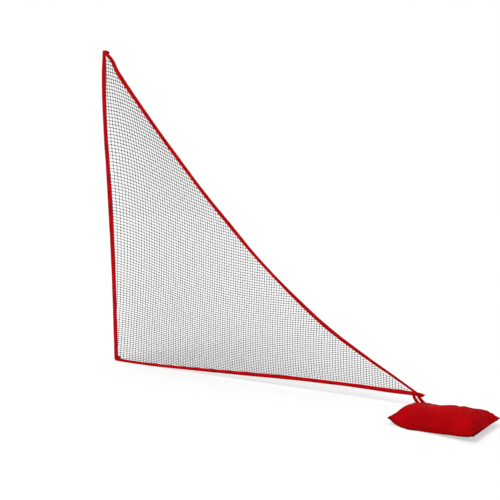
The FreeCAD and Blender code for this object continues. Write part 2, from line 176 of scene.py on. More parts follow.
# The wing's three edges: x, and the height above the ground.
inner_line = [
    (-.004, 2.147), (-.006, 2.10), (-.010, 2.05), (-.014, 1.985), (-.019, 1.86), (-.020, 1.70),
    (-.017, 1.55), (-.009, 1.377), (-.003, 1.20), (.003, .963), (.007, .76), (.007, .5),
    (.005, .25), (.003, .012)]
bottom_line = [
    (-.006, .015), (.129, .0125), (.35, .0155), (.546, .0230), (.924, .040), (1.351, .061),
    (1.586, .068), (1.806, .072), (2.0, .072), (2.138, .075)]
free_line = [
    (-.002, 2.138), (.027, 2.110), (.052, 2.086), (.075, 2.054), (.124, 1.969), (.29, 1.757),
    (.458, 1.551), (.628, 1.351), (.797, 1.157), (.974, .97), (1.148, .789), (1.337, .616),
    (1.533, .453), (1.65, .3675), (1.762, .2965), (1.88, .2265), (1.999, .1595), (2.138, .079)]


def smooth_line(points, step=0.004):
    """Points a few millimetres apart on the smooth curve through the given ones."""
    ends = [2 * Vector(points[0]) - Vector(points[1])] + [Vector(p) for p in points]
    ends.append(2 * ends[-1] - ends[-2])
    made = []
    for before, a, b, after in zip(ends, ends[1:], ends[2:], ends[3:]):
        count = max(1, round((b - a).length / step))
        for k in range(count):
            t = k / count
            made.append(0.5 * (
                (2 * a) + (b - before) * t + (2 * before - 5 * a + 4 * b - after) * t * t
                + (3 * a - before - 3 * b + after) * t ** 3))
    return made + [Vector(points[-1])]


inner_edge = smooth_line(inner_line)
bottom_edge = smooth_line(bottom_line)
free_edge = smooth_line(free_line)
inner_places = np.array(inner_edge[::-8])
bottom_places = np.array(bottom_edge[::8])
free_places = np.array(free_edge[::4])


def bottom_height(x):
    return float(np.interp(x, bottom_places[:, 0], bottom_places[:, 1]))


def free_height(x):
    return float(np.interp(x, free_places[:, 0], free_places[:, 1]))


def inner_x(height):
    return float(np.interp(height, inner_places[:, 1], inner_places[:, 0]))


def billow(x, height):
    """How far the slack netting stands off its plane: nothing at the tapes, waves between them."""
    off_tapes = min(free_height(x) - height, height - bottom_height(x), x - inner_x(height))
    room = max(0.0, off_tapes - BILLOW_START)
    ripples = 0.35 * noise.noise(Vector((x * 6, height * 6, 9)))
    wave = noise.noise(Vector((x * 2.1, height * 1.7, 3.4))) + ripples
    return BILLOW * wave * min(1.0, room / BILLOW_RISE)


# Vector noise takes its seed from the clock unless it is given one.
noise.seed_set(KNOT_SEED)


def on_net(x, height):
    """A point of the netting, a little off its place as knots in soft twine are."""
    shift = noise.noise_vector(Vector((x * 31, height * 31, 1.7))) * KNOT_STRAY
    return Vector((x + shift.x, WING_Y + billow(x, height), GROUND + height + shift.z))


def inside(x, height):
    return bottom_height(x) < height < free_height(x) and x > inner_x(height)


def in_open(x, height):
    """Whether a place of the netting is clear of the three tapes."""
    slope = (free_height(x - 0.01) - free_height(x + 0.01)) / 0.02
    return (x - inner_x(height) > INNER_COVER and height - bottom_height(x) > BOTTOM_COVER
            and (free_height(x) - height) / math.hypot(1, slope) > FREE_COVER)


def reach(within, start, past):
    """How far a thread runs from a place within some bounds towards a place past them."""
    near, far = 0.0, 1.0
    run, rise = past[0] - start[0], past[1] - start[1]
    for _ in range(12):
        middle = (near + far) / 2
        if within(start[0] + run * middle, start[1] + rise * middle):
            near = middle
        else:
            far = middle
    return start[0] + run * near, start[1] + rise * near


# The netting is drawn tall and narrow at the top and hangs slack and wide below, so its threads fan
# out and bend. Each table counts the threads from the first knot, in powers of x and of the height.
FIRST_KNOT = (0.008, 0.024)
COLUMN_COUNT = {
    (0, 1): -5.60, (0, 2): 2.74, (0, 3): 0.83, (0, 4): -0.49, (1, 0): 31.11,
    (1, 1): 12.05, (1, 2): -30.60, (1, 3): 14.74, (2, 0): 24.86, (2, 1): 3.87,
    (2, 2): 4.97, (3, 0): -10.74, (3, 1): -2.97, (4, 0): 1.90}
ROW_COUNT = {
    (0, 1): 74.49, (0, 2): -21.62, (0, 3): 6.35, (0, 4): -0.69, (1, 0): -8.31,
    (1, 1): 43.63, (1, 2): -41.41, (1, 3): 12.21, (2, 0): 23.89, (2, 1): -10.84,
    (2, 2): 11.08, (3, 0): -18.87, (3, 1): -0.88, (4, 0): 4.52}


def threads(table, x, height):
    """How many threads lie before a place, and how that grows along x and up the height."""
    powers = [(c, i, j) for (i, j), c in table.items()]
    count = sum(c * (x ** i * height ** j - FIRST_KNOT[0] ** i * FIRST_KNOT[1] ** j)
                for c, i, j in powers)
    along = sum(c * i * x ** (i - 1) * height ** j for c, i, j in powers if i)
    upward = sum(c * j * x ** i * height ** (j - 1) for c, i, j in powers if j)
    return count, along, upward


def knot_place(i, j, x, height):
    """The place where column i and row j cross, found from a place nearby."""
    for _ in range(5):
        column, column_x, column_up = threads(COLUMN_COUNT, x, height)
        row, row_x, row_up = threads(ROW_COUNT, x, height)
        turn = column_x * row_up - column_up * row_x
        x += ((i - column) * row_up - (j - row) * column_up) / turn
        height += ((j - row) * column_x - (i - column) * row_x) / turn
    return x, height


crossings, beyond = {}, {}
waiting = [(0, 0, *FIRST_KNOT)]
while waiting:
    i, j, *near = waiting.pop(0)
    if (i, j) in crossings or (i, j) in beyond:
        continue
    place = knot_place(i, j, *near)
    if inside(*place):
        crossings[i, j] = place
        waiting += [(i + 1, j, *place), (i - 1, j, *place), (i, j + 1, *place), (i, j - 1, *place)]
    else:
        beyond[i, j] = place

twine = bpy.data.curves.new("netting_twine", "CURVE")
twine.dimensions = "3D"
twine.bevel_depth = TWINE_R
twine.bevel_resolution = 0
twine.use_fill_caps = False


def plump(x, height):
    """Slack twine is thicker than the twine that is pulled tight towards the outer corner."""
    return 0.85 + 0.35 * math.exp(-(x / 0.9) ** 2) + 0.17 * min(1.6, height)


def lay_thread(flat_points):
    """Twine through places of the netting, pressed thin where the webbing is folded over it."""
    in_sight = [k for k, place in enumerate(flat_points) if in_open(*place)]
    if not in_sight:
        return
    flat_points = flat_points[max(0, in_sight[0] - 1):in_sight[-1] + 2]
    places = []
    for here, after in zip(flat_points, flat_points[1:] + flat_points[-1:]):
        places.append((here, 1.0 if in_open(*here) else PRESSED_INSIDE))
        if in_open(*here) and not in_open(*after):
            places.append((reach(in_open, here, after), PRESSED_AT_EDGE))
        elif in_open(*after) and not in_open(*here):
            places.append((reach(in_open, after, here), PRESSED_AT_EDGE))
    thread = twine.splines.new("POLY")
    thread.points.add(len(places) - 1)
    for point, ((x, height), pressed) in zip(thread.points, places):
        point.co = (*on_net(x, height), 1)
        point.radius = plump(x, height) * pressed


def lay_run(start, step):
    """One row or column of the netting: its knots, and an end in the webbing at each side."""
    run = []
    key = start
    while key in crossings:
        run.append(crossings[key])
        key = (key[0] + step[0], key[1] + step[1])
    before = (start[0] - step[0], start[1] - step[1])
    first, last = reach(inside, run[0], beyond[before]), reach(inside, run[-1], beyond[key])
    lay_thread([first] + run + [last])


for key in sorted(crossings):
    if (key[0] - 1, key[1]) in beyond:
        lay_run(key, (1, 0))
    if (key[0], key[1] - 1) in beyond:
        lay_run(key, (0, 1))

laid = bpy.data.objects.new("laid_thread", twine)
scene.collection.objects.link(laid)
netting = bpy.data.objects.new("netting_twine", bpy.data.meshes.new_from_object(laid))
bpy.data.objects.remove(laid)
netting.data.shade_smooth()
scene.collection.objects.link(netting)
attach(netting, "wing")
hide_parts("net_panel")

# The knots: a small lump of pulled-tight twine at every crossing in the open, each turned a
# little differently.
bm = bmesh.new()
bmesh.ops.create_icosphere(bm, subdivisions=1, radius=KNOT_R)
bmesh.ops.scale(bm, verts=bm.verts, vec=KNOT_SHAPE)
shape = [v.co.copy() for v in bm.verts]
shown_knots = [crossings[key] for key in sorted(crossings) if in_open(*crossings[key])]
while len(bm.verts) < len(shown_knots) * len(shape):
    bmesh.ops.duplicate(bm, geom=bm.verts[:] + bm.edges[:] + bm.faces[:])
extra = bm.verts[:][len(shown_knots) * len(shape):]
bmesh.ops.delete(bm, geom=extra, context="VERTS")
bm.verts.ensure_lookup_table()
chance = random.Random(4)
for number, (x, height) in enumerate(shown_knots):
    turn = Matrix.Rotation(math.radians(chance.uniform(20, 60)), 3, "Y") @ Matrix.Scale(
        plump(x, height) * chance.uniform(0.85, 1.1), 3)
    centre = on_net(x, height)
    for k, corner in enumerate(shape):
        bm.verts[number * len(shape) + k].co = centre + turn @ corner
knots = bpy.data.objects.new("netting_knots", bpy.data.meshes.new("netting_knots"))
bm.to_mesh(knots.data)
bm.free()
scene.collection.objects.link(knots)
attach(knots, "wing")

# Solution-dyed polyester twine, twisted from fine filaments: nearly black, with a dull grey sheen
# painted into its colour where fibres stand off it. The twist is drawn at 2 mm, coarser than the
# real one.
twine_black, tree = bare_material("twisted_polyester_twine")
place = add(tree, "TexCoord").outputs["Object"]
fibres = add(tree, "TexNoise", {"Scale": 900, "Detail": 3}, {"Vector": place})
fading = add(tree, "TexNoise", {"Scale": 4, "Detail": 2}, {"Vector": place})
twist = add(tree, "TexWave", {"Scale": 160, "Distortion": 2}, {"Vector": place},
            bands_direction="DIAGONAL")
fade = add(tree, "ValToRGB", {}, {"Fac": fading.outputs["Fac"]})
fade.color_ramp.elements[0].position = 0.35
fade.color_ramp.elements[0].color = linear("#111214")
fade.color_ramp.elements[1].position = 0.7
fade.color_ramp.elements[1].color = linear("#1d1e21")
# Painted sheen: fine specks of grey mixed into the black where fibres stand off the twine.
some = add(tree, "Math", {1: 0.45}, {0: fibres.outputs["Fac"]}, operation="MULTIPLY").outputs[0]
painted_fibre_sheen = add(tree, "Mix", {"B": linear("#34353a")}, {"Factor": some, "A": fade.outputs["Color"]},
           data_type="RGBA")
bump = add(tree, "Bump", {"Strength": 0.6, "Distance": 0.0003}, {"Height": twist.outputs["Fac"]})
cover = add(tree, "BsdfPrincipled", {
    "Roughness": 0.72, "Sheen Weight": 0.25, "Sheen Roughness": 0.5},
    {"Base Color": painted_fibre_sheen.outputs["Result"], "Normal": bump.outputs["Normal"]})
add(tree, "OutputMaterial", {}, {"Surface": cover.outputs[0]})
netting.data.materials.append(twine_black)
knots.data.materials.append(twine_black)


# ---- The edge tapes ---------------------------------------------------------------------------
# Red polyester webbing, about 25 mm wide once folded over the net's cut edge, and sewn through both
# layers with two rows of lockstitch. It waves a little, and narrows where the pull on it is strong.

TAPE_WIDTH = 0.025
TAPE_THICKNESS = 0.0036
TAPE_TWIST, TAPE_PULL, TAPE_WAVE = 0.10, 0.045, 0.0009


def wrapped(name, stations, section, closed_ends=True, section_at=None):
    """A grid laid along the stations and wrapped round a closed section. A station is a centre, the
    directions across and out, and a scale for each. The UV map is in metres, along and round."""
    ahead_of = [0.0]
    for (a, *_), (b, *_) in zip(stations, stations[1:]):
        ahead_of.append(ahead_of[-1] + (b - a).length)
    round_it = [0.0]
    for a, b in zip(section, section[1:] + section[:1]):
        round_it.append(round_it[-1] + math.dist(a, b))
    last, around = len(stations) - 1, len(section)
    bm = bmesh.new()
    bm.loops.layers.uv.new("UVMap")
    bmesh.ops.create_grid(bm, x_segments=last, y_segments=around, size=1)
    uv = bm.loops.layers.uv.active
    step_along = bm.verts.layers.int.new("step_along")
    step_round = bm.verts.layers.int.new("step_round")
    where = {}
    for v in bm.verts:
        i, j = round((v.co.x + 1) / 2 * last), round((v.co.y + 1) / 2 * around)
        where[v] = (i, j)
        v[step_along], v[step_round] = i, j % around
    for face in bm.faces:
        for loop in face.loops:
            i, j = where[loop.vert]
            loop[uv].uv = (ahead_of[i], round_it[j])
    for v, (i, j) in where.items():
        centre, across, out, wide, thick = stations[i]
        a, b = (section if section_at is None else section_at(i))[j % around]
        v.co = centre + across * a * wide + out * b * thick
    bmesh.ops.remove_doubles(bm, verts=bm.verts, dist=1e-7)
    if closed_ends:
        bmesh.ops.holes_fill(bm, edges=[e for e in bm.edges if e.is_boundary])
    bmesh.ops.recalc_face_normals(bm, faces=bm.faces)
    if bm.calc_volume(signed=True) < 0:
        bmesh.ops.reverse_faces(bm, faces=bm.faces)
    piece = bpy.data.objects.new(name, bpy.data.meshes.new(name))
    bm.to_mesh(piece.data)
    bm.free()
    piece.data.shade_smooth()
    scene.collection.objects.link(piece)
    return piece


def tape_section(width, thickness):
    """Folded webbing: round at the fold, drawn in along two rows of stitches, then open."""
    w, t = width / 2, thickness / 2
    front = [
        (-w, 0), (-w + 0.0006, -t * 0.8), (-w + 0.0024, -t), (-w + 0.0038, -t * 0.78),
        (-w + 0.0052, -t), (0, -t * 1.04), (w - 0.0052, -t), (w - 0.0036, -t * 0.74),
        (w - 0.0020, -t), (w - 0.0004, -t * 0.85), (w - 0.0004, -t * 0.3),
        (w - 0.0016, -t * 0.12)]
    return front + [(a, -b) for a, b in reversed(front[1:])]


def flat_frame(line, k):
    """Along and outward directions of a line in the wing's plane, at its point k."""
    a, b = line[max(0, k - 1)], line[min(len(line) - 1, k + 1)]
    along = (b - a).normalized()
    return Vector((along.x, 0, along.y)), Vector((along.y, 0, -along.x))


def edge_tape(name, line, outward, narrow, twist, seed):
    """A tape on one edge, with its share of width and its turn at each share of its length."""
    stations = []
    for k in range(len(line)):
        share = k / (len(line) - 1)
        along, side = flat_frame(line, k)
        side = side * outward
        turn = twist(share) + TAPE_TWIST * noise.noise(Vector((k * 0.02, seed, 0)))
        spin = Matrix.Rotation(turn, 3, along)
        wide = narrow(share) * (1 + TAPE_PULL * noise.noise(Vector((k * 0.055, seed, 5))))
        wave = Vector((0, TAPE_WAVE * noise.noise(Vector((k * 0.05, seed, 8))), 0))
        centre = Vector((line[k].x, WING_Y, GROUND + line[k].y)) + wave
        stations.append((centre, spin @ -side, spin @ Vector((0, 1, 0)), wide, 1))
    return wrapped(name, stations, tape_section(TAPE_WIDTH, TAPE_THICKNESS))


def widths(*pairs):
    """A tape's share of its width, eased between the shares at some places along it."""
    at, wide = zip(*pairs)
    fine = np.linspace(0, 1, 201)
    padded = np.pad(np.interp(fine, at, wide), 3, mode="edge")
    smoothed = np.convolve(padded, np.ones(7) / 7, mode="valid")
    return lambda s: float(np.interp(s, fine, smoothed))


inner_width = widths(
    (0, 1.0), (0.03, 1.45), (0.08, 1.62), (0.2, 1.42), (0.45, 1.6), (0.6, 1.58), (0.75, 1.50),
    (1, 1.40))
bottom_width = widths(
    (0, 0.85), (0.1, 0.78), (0.3, 0.87), (0.5, 0.98), (0.65, 0.96), (0.8, 0.86), (0.9, 0.98),
    (1, 0.95))
free_width = widths(
    (0, 0.85), (0.015, 0.95), (0.03, 1.20), (0.07, 1.30), (0.12, 1.20), (0.175, 1.12),
    (0.25, 1.05), (0.40, 0.97), (0.53, 1.0), (0.62, 0.80), (0.68, 0.82), (0.74, 1.0),
    (0.80, 1.02), (0.86, 0.88), (0.90, 0.78), (0.95, 0.64), (1, 0.55))
inner_tape = edge_tape("inner_edge_webbing", inner_edge, 1, inner_width, lambda s: 0.0, 1.3)
bottom_tape = edge_tape("bottom_edge_webbing", bottom_edge, 1, bottom_width, lambda s: 0.0, 2.6)
free_tape = edge_tape("free_edge_webbing", free_edge, -1, free_width,
                      lambda s: 0.35 * max(0, s - 0.5), 3.9)
for tape, node in ((inner_tape, "inner_edge_tape"), (bottom_tape, "bottom_edge_tape"),
                   (free_tape, "free_edge_tape")):
    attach(tape, "wing")
    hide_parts(node)


STITCH = 0.0042
STITCH_SHARE = 0.68
STITCH_HALF_WIDTH = 0.0007
STITCH_ROWS = (0.0052, 0.0226, 0.0302, 0.0480)


def stitch_rows(tree, u, v):
    """1 on the rows of stitches: each lies that far round from the fold, on either face."""
    step = add(tree, "Math", {1: 1 / STITCH}, {0: u}, operation="MULTIPLY").outputs[0]
    part = add(tree, "Math", {}, {0: step}, operation="FRACT").outputs[0]
    dash = add(tree, "Math", {1: STITCH_SHARE}, {0: part}, operation="LESS_THAN").outputs[0]
    on_line = None
    for line in STITCH_ROWS:
        past = add(tree, "Math", {1: line}, {0: v}, operation="SUBTRACT").outputs[0]
        off = add(tree, "Math", {}, {0: past}, operation="ABSOLUTE").outputs[0]
        hit = add(tree, "Math", {1: STITCH_HALF_WIDTH}, {0: off}, operation="LESS_THAN").outputs[0]
        on_line = hit if on_line is None else add(
            tree, "Math", {}, {0: on_line, 1: hit}, operation="MAXIMUM").outputs[0]
    return add(tree, "Math", {}, {0: dash, 1: on_line}, operation="MULTIPLY").outputs[0]


def ridges(tree, along, spacing):
    """Even ridges that far apart in metres: a wave from -1 to 1."""
    turns = add(tree, "Math", {1: 2 * math.pi / spacing}, {0: along}, operation="MULTIPLY")
    return add(tree, "Math", {}, {0: turns.outputs[0]}, operation="SINE").outputs[0]


# Dyed polyester webbing, woven with plump ribs across it: a matt clear red with painted shade
# between the ribs, mottled, with paler stitches. Its ribs are drawn 2.4 mm apart, twice the real
# spacing.
webbing_red, tree = bare_material("woven_polyester_webbing")
uv = add(tree, "UVMap", uv_map="UVMap").outputs["UV"]
place = add(tree, "TexCoord").outputs["Object"]
split = add(tree, "SeparateXYZ", {}, {"Vector": uv}).outputs
rib = ridges(tree, split["X"], 0.0024)
cord = ridges(tree, split["Y"], 0.0031)
weave = add(tree, "Math", {}, {0: rib, 1: cord}, operation="MULTIPLY").outputs[0]
patches = add(tree, "TexNoise", {"Scale": 22, "Detail": 4}, {"Vector": place}).outputs["Fac"]
shade = add(tree, "ValToRGB", {}, {"Fac": patches})
shade.color_ramp.elements[0].position = 0.3
shade.color_ramp.elements[0].color = linear("#c1090f")
shade.color_ramp.elements[1].position = 0.72
shade.color_ramp.elements[1].color = linear("#e81018")
# Painted shade: the hollows between the ribs are mixed towards a dark red.
hollow = add(tree, "MapRange", {"From Min": -1, "From Max": 0.4, "To Min": 0.55, "To Max": 0},
             {"Value": weave}).outputs[0]
woven = add(tree, "Mix", {"B": linear("#92060c")}, {"Factor": hollow, "A": shade.outputs["Color"]},
            data_type="RGBA").outputs["Result"]
seam = stitch_rows(tree, split["X"], split["Y"])
sewn = add(tree, "Mix", {"B": linear("#dd2a31")}, {"Factor": seam, "A": woven},
           data_type="RGBA").outputs["Result"]
relief = add(tree, "Math", {1: 1.5}, {0: seam, 2: weave}, operation="MULTIPLY_ADD").outputs[0]
bump = add(tree, "Bump", {"Strength": 0.7, "Distance": 0.0004}, {"Height": relief})
cover = add(tree, "BsdfPrincipled", {"Roughness": 0.85, "Specular IOR Level": 0.02},
            {"Base Color": sewn, "Normal": bump.outputs["Normal"]})
add(tree, "OutputMaterial", {}, {"Surface": cover.outputs[0]})
for tape in (inner_tape, bottom_tape, free_tape):
    tape.data.materials.append(webbing_red)


# ---- The tube loops ---------------------------------------------------------------------------
# At the wing's top and at its foot a length of the same webbing goes round the frame's 25.4 mm
# tube and is sewn together into a neck, behind the upright edge. The neck turns with the wing.

LOOP_R = 0.01435
LOOP_WALL = 0.0021
NECK_HALF = 0.0012
NECK_STEPS = (-0.0200, -0.0188, -0.0176)


def loop_round_tube(name, node, height, lean):
    """Webbing round a tube that leans from upright, with its two ends together as a neck."""
    turn = Matrix.Rotation(math.radians(lean), 3, "Y")
    path = [Vector((NECK_HALF, y, 0)) for y in NECK_STEPS]
    for angle in np.linspace(-78, 258, 57):
        a = math.radians(angle)
        path.append(Vector((math.cos(a), math.sin(a), 0)) * LOOP_R)
    path += [Vector((-NECK_HALF, y, 0)) for y in reversed(NECK_STEPS)]
    stations = []
    for k, point in enumerate(path):
        along = (path[min(len(path) - 1, k + 1)] - path[max(0, k - 1)]).normalized()
        out = Vector((along.y, -along.x, 0))
        spot = turn @ point + Vector((0, 0, height))
        stations.append((spot, turn @ Vector((0, 0, 1)), turn @ out, 1, 1))
    w, t = TAPE_WIDTH / 2, LOOP_WALL / 2
    inner_face = [(-w, -t * 0.4), (-w * 0.97, -t), (-w * 0.5, -t), (0, -t), (w * 0.5, -t),
                  (w * 0.97, -t), (w, -t * 0.4)]
    outer_face = [(-a, -b) for a, b in inner_face]
    loop = wrapped(name, stations, inner_face + outer_face)
    loop.data.materials.append(webbing_red)
    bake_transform(loop, "frame_loops", "wing", start=(0, -0.0155, height), end=(0, -0.0205, height))
    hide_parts(node)


loop_round_tube("top_loop_webbing", "top_pole_loop", 0.0, 27.9)
loop_round_tube("base_loop_webbing", "base_tube_loop", -2.115, 90.0)


# ---- The outer corner -------------------------------------------------------------------------
# The end of the webbing makes a small ring that the sandbag's strap runs through, is sewn down on
# the tape's front, and is left as a loose tail that was cut to a point.

RING_CENTRE = Vector((2.134, -0.0331, -2.058))
RING_R = 0.0074
RING_WIDTH = 0.008
RING_THICKNESS = 0.0014

stations = []
for angle in np.linspace(90, 450, 49):
    a = math.radians(angle)
    out = Vector((0, math.cos(a), math.sin(a)))
    wide = 1 + 0.05 * math.sin(3 * a)
    stations.append((RING_CENTRE + out * RING_R, Vector((1, 0, 0)), out, wide, 1))
w, t = RING_WIDTH / 2, RING_THICKNESS / 2
ring = wrapped("corner_ring_webbing", stations, [
    (-w, -t * 0.5), (-w * 0.9, -t), (0, -t * 1.2), (w * 0.9, -t), (w, -t * 0.5),
    (w, t * 0.5), (w * 0.9, t), (0, t * 1.2), (-w * 0.9, t), (-w, t * 0.5)], closed_ends=False)

# The ring comes round to its own start, so its two ends are merged.
bm = bmesh.new()
bm.from_mesh(ring.data)
bmesh.ops.remove_doubles(bm, verts=bm.verts, dist=1e-5)
bmesh.ops.recalc_face_normals(bm, faces=bm.faces)
bm.to_mesh(ring.data)
bm.free()

TAIL_X, TAIL_Y = 2.126, -0.0252
TAIL_LENGTH = 0.057
TAIL_WIDTH = 0.022
TAIL_THICKNESS = 0.0012
LOOSE_FROM = 0.30
POINT_FROM, POINT_SHARE = 0.68, 0.32

stations = []
for k in range(37):
    share = k / 36
    loose = max(0.0, share - LOOSE_FROM)
    point = max(0.0, (share - POINT_FROM) / POINT_SHARE)
    drop = -0.0045 * min(1, share / 0.7) + 0.003 * point
    lift = -0.0008 + 0.0070 * loose ** 1.3
    centre = Vector((TAIL_X + share * TAIL_LENGTH, TAIL_Y + lift, RING_CENTRE.z - 0.0002 + drop))
    curl = Matrix.Rotation(0.30 * loose / 0.7, 3, "X")
    wide = 1.10 * (1 - 0.93 * point ** 1.3)
    stations.append((centre, curl @ Vector((0, 0, 1)), curl @ Vector((0, -1, 0)), wide, 1))
w, t = TAIL_WIDTH / 2, TAIL_THICKNESS / 2
tail = wrapped("corner_tail_webbing", stations, [
    (-w, 0), (-w * 0.96, -t), (-w * 0.5, -t * 1.5), (0, -t), (w * 0.5, -t * 1.6), (w * 0.96, -t),
    (w, 0), (w * 0.96, t), (w * 0.5, t * 0.5), (0, t), (-w * 0.5, t * 0.5), (-w * 0.96, t)])
for piece in (ring, tail):
    piece.data.materials.append(webbing_red)
    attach(piece, "wing")
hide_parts("corner_loop")


# ---- The sandbag's body -----------------------------------------------------------------------
# Two panels of coated red polyester, 18 by 12 in, sewn round three sides and filled with sand. The
# sand settles: the bag lies flat below, bulges above, and its empty corners stand up as points.

BAG_LENGTH = 0.440
BAG_WIDTH = 0.300
BAG_CORNER = Vector((2.130, -0.037, GROUND))
SEAM_HEIGHT = 0.029
SEAM_HALF = 0.0015
CROWN = 0.062
BELLY_BACK, BELLY_FRONT = 0.050, 0.034
OVERHANG = 0.013
BACK_SUNK = 0.0025
BACK_OPEN = 0.0105
CLEARANCE = 0.0004

# How far the seam strays from a level oblong: its far end's rise and sag, its front's waist and
# bulge, and how far the filling draws in the far end at the back and at the front.
FAR_RISE, FAR_SAG = 0.0105, 0.004
WAIST, BULGE = 0.006, 0.011
DRAWN_BACK, DRAWN_FRONT = 0.004, 0.025

# The hollows in the crown: centre along and forward, reach along and forward, and depth.
HOLLOWS = [((0.12, 0.06), (0.10, 0.14), 0.028), ((0.274, 0.05), (0.012, 0.09), 0.009),
           ((0.35, 0.08), (0.03, 0.1), 0.004)]

bag_turn = Matrix.Rotation(math.radians(-8), 3, "Z")
bag_along = bag_turn @ Vector((1, 0, 0))
bag_forward = bag_turn @ Vector((0, -1, 0))


def in_bag(u, v, h):
    """A point from u along the bag's back edge, v forward of it and h over the ground."""
    return BAG_CORNER + bag_along * u + bag_forward * v + Vector((0, 0, h))


front_seam = smooth_line([
    (-.02, .046), (0, .035), (.028, .0145), (.06, .003), (.09, .0022), (.17, .0032), (.23, .007),
    (.296, .0145), (.36, .022), (.41, .030), (.44, .036), (.46, .038)])


def eased(share):
    """A share held between 0 and 1, with a gentle start and end."""
    share = min(1.0, max(0.0, share))
    return share * share * (3 - 2 * share)


def seam_height(u, v):
    """The seam sags where the sand lies on it, and stands up with the empty cloth at its ends."""
    share = min(1.0, max(0.0, v / BAG_WIDTH))
    end = max(0.0, (u / BAG_LENGTH - 0.93) / 0.07) ** 1.3
    front = float(np.interp(u, [p.x for p in front_seam], [p.y for p in front_seam]))
    back = SEAM_HEIGHT + FAR_RISE * eased((u - 0.33) / 0.11)
    return back + (front - back) * share ** 1.5 - FAR_SAG * end * math.sin(math.pi * share)


def front_of(u):
    """The front seam: drawn in on a long arc between its corners, bulging near the left one."""
    bulge = BULGE * math.exp(-((u - 0.11) / 0.035) ** 2)
    return BAG_WIDTH - WAIST * (1 - (2 * u / BAG_LENGTH - 1) ** 2) + bulge


def drawn_in(u, v):
    """The filling draws in the far end, and its front corner most."""
    share = min(1.0, max(0.0, v / BAG_WIDTH))
    drawn = DRAWN_BACK * (1 - share) ** 4 - DRAWN_FRONT * share ** 0.5
    return u + drawn * max(0.0, u / BAG_LENGTH) ** 5


def back_growth(u):
    """How far the zipped back wall opens above and below the seam, between its sewn ends."""
    return BACK_OPEN * max(0.0, min(1.0, u / 0.090, (BAG_LENGTH - u) / 0.034))


def dent(u, v, centre, reach, depth):
    """How deep a soft hollow is at a place."""
    return depth * math.exp(-((u - centre[0]) / reach[0]) ** 2 - ((v - centre[1]) / reach[1]) ** 2)


def least(*heights):
    """The smallest of some heights, with the ridges between them rounded."""
    return sum(max(height, 1e-5) ** -6 for height in heights) ** (-1 / 6)


def bag_ring(u, across):
    """The bag's section at u, from its back wall's middle up, over, round the front and under."""
    back = SEAM_HALF + back_growth(u)
    front = front_of(u)
    left, right = u + 1e-4, BAG_LENGTH - u + 1e-4
    full = min(1.0, left / 0.1, right / 0.16)
    steps = [0.0]
    for k in range(1, across + 1):
        steps.append(0.5 - 0.5 * math.cos(math.pi * (0.12 + 0.88 * k / across)))
    ring = [(BACK_SUNK, SEAM_HEIGHT), (BACK_SUNK, SEAM_HEIGHT + back * 0.5)]
    for t in steps:
        v = front * t
        arch = max(0.0, 4 * t * (1 - t)) ** (1.0 if t < 0.5 else 0.52)
        steep = eased((t - 0.2) / 0.5)
        crown = least(CROWN * arch, (0.8 + 0.56 * steep) * left, (0.78 + 0.62 * steep) * right)
        crown -= min(crown * 0.8, sum(dent(u, v, *hollow) for hollow in HOLLOWS))
        overhang = OVERHANG * math.sin(math.pi * max(0.0, (t - 0.8) / 0.2)) * full
        ring.append((v + overhang, seam_height(u, v) + back * (1 - t) + SEAM_HALF * t + crown))
    for t in reversed(steps):
        v = front * t
        under = max(0.0, 4 * t * (1 - t))
        belly = least(BELLY_BACK * under ** 0.4 if t < 0.5 else BELLY_FRONT * under,
                      2.4 * left, 0.5 * right)
        low = seam_height(u, v) - back * (1 - t) - SEAM_HALF * t - belly
        ring.append((v, max(CLEARANCE, low)))
    ring.append((BACK_SUNK, SEAM_HEIGHT - back * 0.5))
    return ring


ACROSS = 56
ALONG = 84
stations = [(in_bag(BAG_LENGTH * k / ALONG, 0, 0), bag_forward, Vector((0, 0, 1)), 1, 1)
            for k in range(ALONG + 1)]
rings = [bag_ring(BAG_LENGTH * k / ALONG, ACROSS) for k in range(ALONG + 1)]
bag = wrapped("sandbag_body", stations, rings[ALONG // 2], section_at=lambda k: rings[k])
for v in bag.data.vertices:
    from_corner = v.co - in_bag(0, 0, 0)
    u, forward = from_corner.dot(bag_along), from_corner.dot(bag_forward)
    v.co += bag_along * (drawn_in(u, forward) - u)
around = len(rings[0])
lowest = GROUND + CLEARANCE
steps_at = bag.data.attributes
pinned = []
for along, round_it in zip(steps_at["step_along"].data, steps_at["step_round"].data):
    j = round_it.value
    at_back = j <= 2 or j >= around - 2
    at_front = ACROSS + 1 <= j <= ACROSS + 4
    pinned.append(at_back or at_front or along.value in (0, ALONG))
at_rest = [v.co.copy() for v in bag.data.vertices]

# The sand's push on the cloth between its sewn edges: a short simulation, whose result may move
# the cloth this far above the seam and below it.
FILL_FRAMES = 20
MOVE_ABOVE, MOVE_BELOW, ABOVE_FROM = 0.008, 0.002, 0.035

held = bag.vertex_groups.new(name="sewn")
held.add([k for k, fixed in enumerate(pinned) if fixed], 1, "REPLACE")
cloth = bag.modifiers.new("filling", "CLOTH")
cloth.settings.quality = 6
cloth.settings.mass = 0.3
cloth.settings.tension_stiffness = 25
cloth.settings.compression_stiffness = 25
cloth.settings.shear_stiffness = 8
cloth.settings.bending_stiffness = 0.15
cloth.settings.shrink_min = -0.035
cloth.settings.use_pressure = True
cloth.settings.uniform_pressure_force = 3.5
cloth.settings.vertex_group_mass = "sewn"
cloth.settings.effector_weights.gravity = 0
cloth.collision_settings.use_collision = False
cloth.point_cache.frame_start, cloth.point_cache.frame_end = 1, FILL_FRAMES
for number in range(1, FILL_FRAMES + 1):
    scene.frame_set(number)
shaped = bag.evaluated_get(bpy.context.evaluated_depsgraph_get()).to_mesh()
settled = [v.co.copy() for v in shaped.vertices]
bag.modifiers.remove(cloth)
scene.frame_set(1)
for v, start, end in zip(bag.data.vertices, at_rest, settled):
    move = end - start
    furthest = MOVE_ABOVE if start.z > GROUND + ABOVE_FROM else MOVE_BELOW
    if move.length > furthest:
        move.length = furthest
    v.co = start + move
    v.co.z = max(v.co.z, lowest)

